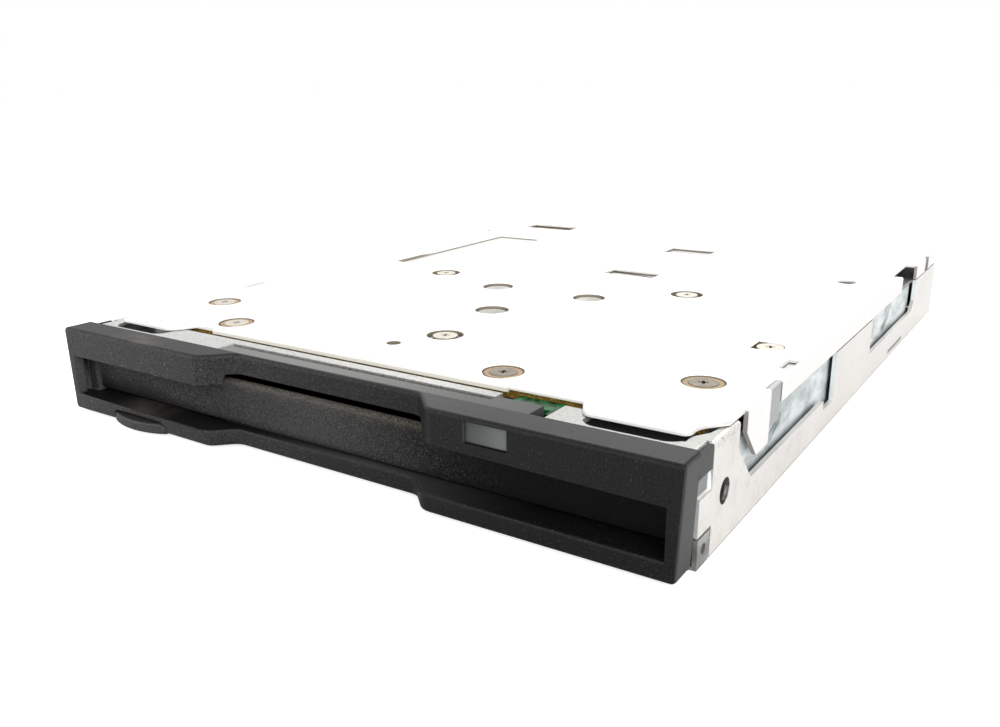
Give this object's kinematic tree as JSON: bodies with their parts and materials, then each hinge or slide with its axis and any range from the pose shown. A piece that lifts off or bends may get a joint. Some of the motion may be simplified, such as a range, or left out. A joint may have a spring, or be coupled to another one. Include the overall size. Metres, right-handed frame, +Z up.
{
  "type": "floppy disk drive",
  "caption": "Slim built-in 3.5-inch floppy disk drive lying circuit side up, with sprung slot flap, eject button, disk cage, spindle motor and stepping head carriage.",
  "frame": {"origin": "middle of the drive's base, under the whole outline from the button's face to the rear wall", "axes": "+X to the right seen from the front, +Y from the bezel to the rear, +Z up from the disk side to the circuit side"},
  "size_m": [0.0966, 0.1352, 0.013],
  "materials": {
    "bezel_plastic": "fine moulded grain, dusty",
    "flap_plastic": "fine moulded grain, dusty",
    "button_plastic": "smooth moulded",
    "lens_plastic": "cloudy clear plastic",
    "green_plastic": "clear green plastic",
    "zinc_sheet": "bright zinc plate",
    "pale_sheet": "pale satin plate",
    "laminate": "brown laminate",
    "film": "thin polyester film",
    "paper": "bare white label",
    "fibre": "brown fibre",
    "screw_steel": "plated screws",
    "grey_zinc": "grey zinc plate",
    "brass": "sintered bronze",
    "core_steel": "dark laminations",
    "copper": "enamelled copper wire",
    "magnet": "bonded ferrite",
    "shaft_steel": "ground steel",
    "spring_steel": "plated spring wire",
    "carriage_alloy": "cast alloy",
    "ferrite": "polished ferrite",
    "black_plastic": "moulded chip cases",
    "connector_plastic": "ivory connector",
    "flex": "amber film",
    "plunger_plastic": "ivory plastic"
  },
  "bodies": {
    "drive": {"front_bezel": "bezel_plastic", "lamp_lens": "lens_plastic", "lamp_holder": "green_plastic", "main_frame": "zinc_sheet", "disk_cover": "grey_zinc", "circuit_cover": "pale_sheet", "circuit_board": "laminate", "insulating_film": "film", "blank_label": "paper", "board_screws": "screw_steel", "fibre_rings": "fibre", "motor_screws": "screw_steel", "motor_base": "grey_zinc", "bearing_rivets": "grey_zinc", "spindle_bearing": "brass", "stator_core": "core_steel", "stator_coils": "copper", "guide_posts": "shaft_steel", "guide_rod": "shaft_steel", "stepping_motor": "grey_zinc", "stepper_bracket": "zinc_sheet", "bracket_screws": "screw_steel", "board_chips": "black_plastic", "host_connector": "connector_plastic", "head_flex": "flex", "flex_socket": "connector_plastic", "switch_housings": "black_plastic", "flap_spring": "spring_steel", "eject_springs": "spring_steel"},
    "flap": {"slot_flap": "flap_plastic"},
    "slider": {"eject_slider": "grey_zinc", "eject_button": "button_plastic"},
    "cage": {"disk_cage": "grey_zinc", "lever_rivet": "shaft_steel", "lever_spring": "spring_steel"},
    "lever": {"trigger_lever": "grey_zinc"},
    "rotor": {"rotor_cup": "grey_zinc", "rotor_magnet": "magnet", "spindle_shaft": "shaft_steel", "spindle_hub": "grey_zinc", "drive_pin": "shaft_steel"},
    "carriage": {"head_carriage": "carriage_alloy", "fixed_head": "ferrite", "arm_pin": "shaft_steel", "arm_spring": "spring_steel"},
    "arm": {"head_arm": "carriage_alloy", "arm_head": "ferrite"},
    "leadscrew": {"lead_screw": "shaft_steel"},
    "protect": {"protect_plunger": "plunger_plastic"},
    "density": {"density_plunger": "plunger_plastic"},
    "media": {"media_plunger": "plunger_plastic"}
  },
  "joints": [
    {"name": "eject_slide", "type": "slide", "parent": "drive", "child": "slider", "axis": [0, -1, 0], "range_m": [0, 0.005], "deforming": ["eject_springs"]},
    {"name": "cage_lift", "type": "slide", "parent": "drive", "child": "cage", "axis": [0, 0, 1], "range_m": [0, 0.002]},
    {"name": "flap_hinge", "type": "hinge", "parent": "drive", "child": "flap", "pos_m": [0, -0.06255, 0.00885], "axis": [1, 0, 0], "range_deg": [0, 88], "stiffness_Nm_per_rad": 0.0004},
    {"name": "lever_swing", "type": "hinge", "parent": "cage", "child": "lever", "pos_m": [-0.038, 0.0256, 0.0022], "axis": [0, 0, 1], "range_deg": [0, 57], "stiffness_Nm_per_rad": 0.0004},
    {"name": "spindle_spin", "type": "hinge", "parent": "drive", "child": "rotor", "pos_m": [0, -0.0147, 0.0095], "axis": [0, 0, 1], "continuous": true},
    {"name": "head_slide", "type": "slide", "parent": "drive", "child": "carriage", "axis": [0, -1, 0], "range_m": [0, 0.0148], "deforming": ["head_flex"]},
    {"name": "arm_lift", "type": "hinge", "parent": "carriage", "child": "arm", "pos_m": [0, 0.0511, 0.003], "axis": [-1, 0, 0], "range_deg": [0, 8.8]},
    {"name": "screw_spin", "type": "hinge", "parent": "drive", "child": "leadscrew", "pos_m": [0.017, 0.0436, 0.006], "axis": [0, 1, 0], "range_deg": [0, 1430]},
    {"name": "protect_press", "type": "slide", "parent": "drive", "child": "protect", "axis": [0, 0, 1], "range_m": [0, 0.0011], "stiffness_N_per_m": 60},
    {"name": "density_press", "type": "slide", "parent": "drive", "child": "density", "axis": [0, 0, 1], "range_m": [0, 0.0011], "stiffness_N_per_m": 60},
    {"name": "media_press", "type": "slide", "parent": "drive", "child": "media", "axis": [0, 0, 1], "range_m": [0, 0.0011], "stiffness_N_per_m": 60}
  ],
  "couplings": [
    {"joint": "cage_lift", "follows": "eject_slide", "ratio": 0.4},
    {"joint": "arm_lift", "follows": "eject_slide", "rad_per_m": 30.543},
    {"joint": "screw_spin", "follows": "head_slide", "rad_per_m": 1675.5}
  ]
}
